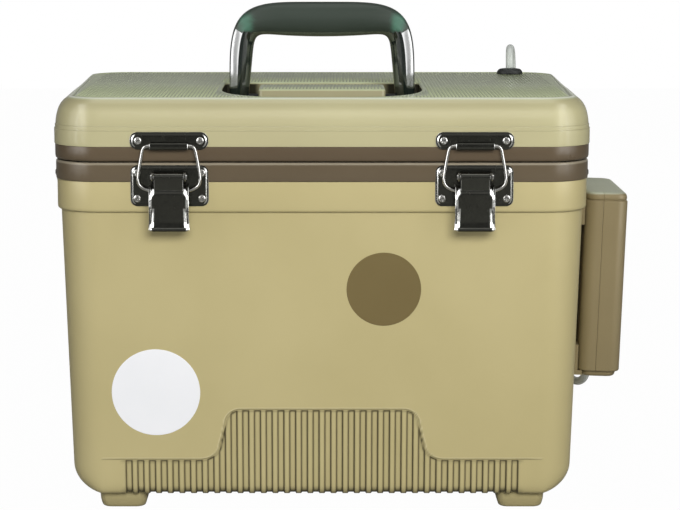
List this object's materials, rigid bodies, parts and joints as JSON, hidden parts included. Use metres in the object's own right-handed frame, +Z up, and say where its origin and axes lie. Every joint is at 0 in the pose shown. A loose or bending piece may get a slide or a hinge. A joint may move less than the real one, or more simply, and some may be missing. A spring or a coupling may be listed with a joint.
{
  "type": "aerated bait bucket",
  "caption": "Small insulated bait cooler with hinged lid, two draw latches, folding carry handle, side-mounted battery air pump, air hose and air stone.",
  "frame": {"origin": "middle of the footprint, on the floor the four feet stand on", "axes": "+X to the right along the long side, the pump's side; -Y is the front, with the two latches; +Z up"},
  "size_m": [0.4036, 0.2712, 0.3378],
  "materials": {
    "tan_plastic": "satin",
    "brown_plastic": "satin",
    "foam": "matte",
    "gasket_rubber": "matte",
    "handle_plastic": "satin",
    "steel": "polished",
    "knob_plastic": "satin",
    "pump_plastic": "satin",
    "black_plastic": "satin",
    "battery_jacket": "satin",
    "hose_vinyl": "gloss",
    "stone": "matte",
    "white_plastic": "satin"
  },
  "bodies": {
    "body": {"body_shell": "tan_plastic", "body_foam": "foam", "body_liner": "brown_plastic", "hinge_body_leaf_left": "steel", "hinge_body_leaf_right": "steel", "hinge_pin_left": "steel", "hinge_pin_right": "steel", "hinge_body_screws": "steel", "latch_base_left": "steel", "latch_base_right": "steel", "latch_pin_left": "steel", "latch_pin_right": "steel", "latch_base_screws_left": "steel", "latch_base_screws_right": "steel", "strap_knob_left": "knob_plastic", "strap_knob_right": "knob_plastic", "strap_knob_screws": "steel", "pump_bracket": "pump_plastic", "pump_bracket_screws": "steel", "pump_mount_screws": "steel", "pump_case_inner": "pump_plastic", "pump_case_outer": "pump_plastic", "pump_base_cap": "pump_plastic", "pump_switch_body": "black_plastic", "pump_air_nipple": "pump_plastic", "pump_inner_tube": "hose_vinyl", "pump_batteries": "battery_jacket", "pump_battery_contacts": "steel", "pump_battery_springs": "steel", "pump_motor": "steel", "pump_head": "black_plastic", "pump_diaphragm": "gasket_rubber", "hose_outer_body": "hose_vinyl", "hose_inner_body": "hose_vinyl", "air_stone": "stone", "air_stone_fitting": "white_plastic"},
    "lid": {"lid_shell": "tan_plastic", "lid_foam": "foam", "lid_liner": "brown_plastic", "lid_gasket": "gasket_rubber", "handle_rod": "steel", "hinge_lid_leaf_left": "steel", "hinge_lid_leaf_right": "steel", "hinge_lid_screws": "steel", "latch_keeper_left": "steel", "latch_keeper_right": "steel", "latch_keeper_screws_left": "steel", "latch_keeper_screws_right": "steel", "hose_grommet": "gasket_rubber", "hose_outer_lid": "hose_vinyl", "hose_inner_lid": "hose_vinyl"},
    "handle": {"handle": "handle_plastic"},
    "latch_lever_left": {"latch_lever_left": "steel"},
    "latch_bail_left": {"latch_bail_left": "steel"},
    "latch_lever_right": {"latch_lever_right": "steel"},
    "latch_bail_right": {"latch_bail_right": "steel"},
    "pump_switch": {"pump_switch_slider": "black_plastic"},
    "pump_shaft": {"pump_motor_shaft": "steel"}
  },
  "joints": [
    {"name": "lid_hinge", "type": "hinge", "parent": "body", "child": "lid", "pos_m": [0, 0.1297, 0.2376], "axis": [-1, 0, 0], "range_deg": [0, 100]},
    {"name": "handle_fold", "type": "hinge", "parent": "lid", "child": "handle", "pos_m": [0, -0.023, 0.271], "axis": [1, 0, 0], "range_deg": [0, 90]},
    {"name": "latch_lever_left_turn", "type": "hinge", "parent": "body", "child": "latch_lever_left", "pos_m": [-0.0997, -0.1315, 0.2284], "axis": [-1, 0, 0], "range_deg": [0, 110]},
    {"name": "latch_bail_left_turn", "type": "hinge", "parent": "latch_lever_left", "child": "latch_bail_left", "pos_m": [-0.0997, -0.129, 0.2193], "axis": [1, 0, 0], "range_deg": [0, 165]},
    {"name": "latch_lever_right_turn", "type": "hinge", "parent": "body", "child": "latch_lever_right", "pos_m": [0.0997, -0.1315, 0.2284], "axis": [-1, 0, 0], "range_deg": [0, 110]},
    {"name": "latch_bail_right_turn", "type": "hinge", "parent": "latch_lever_right", "child": "latch_bail_right", "pos_m": [0.0997, -0.129, 0.2193], "axis": [1, 0, 0], "range_deg": [0, 165]},
    {"name": "pump_switch_slide", "type": "slide", "parent": "body", "child": "pump_switch", "axis": [0, 1, 0], "range_m": [0, 0.008]},
    {"name": "pump_shaft_spin", "type": "hinge", "parent": "body", "child": "pump_shaft", "pos_m": [0.19651, 0, 0.17062], "axis": [0, 1, 0], "continuous": true}
  ],
  "couplings": [
    {"joint": "latch_bail_left_turn", "follows": "latch_lever_left_turn", "ratio": 1.5},
    {"joint": "latch_bail_right_turn", "follows": "latch_lever_right_turn", "ratio": 1.5}
  ]
}
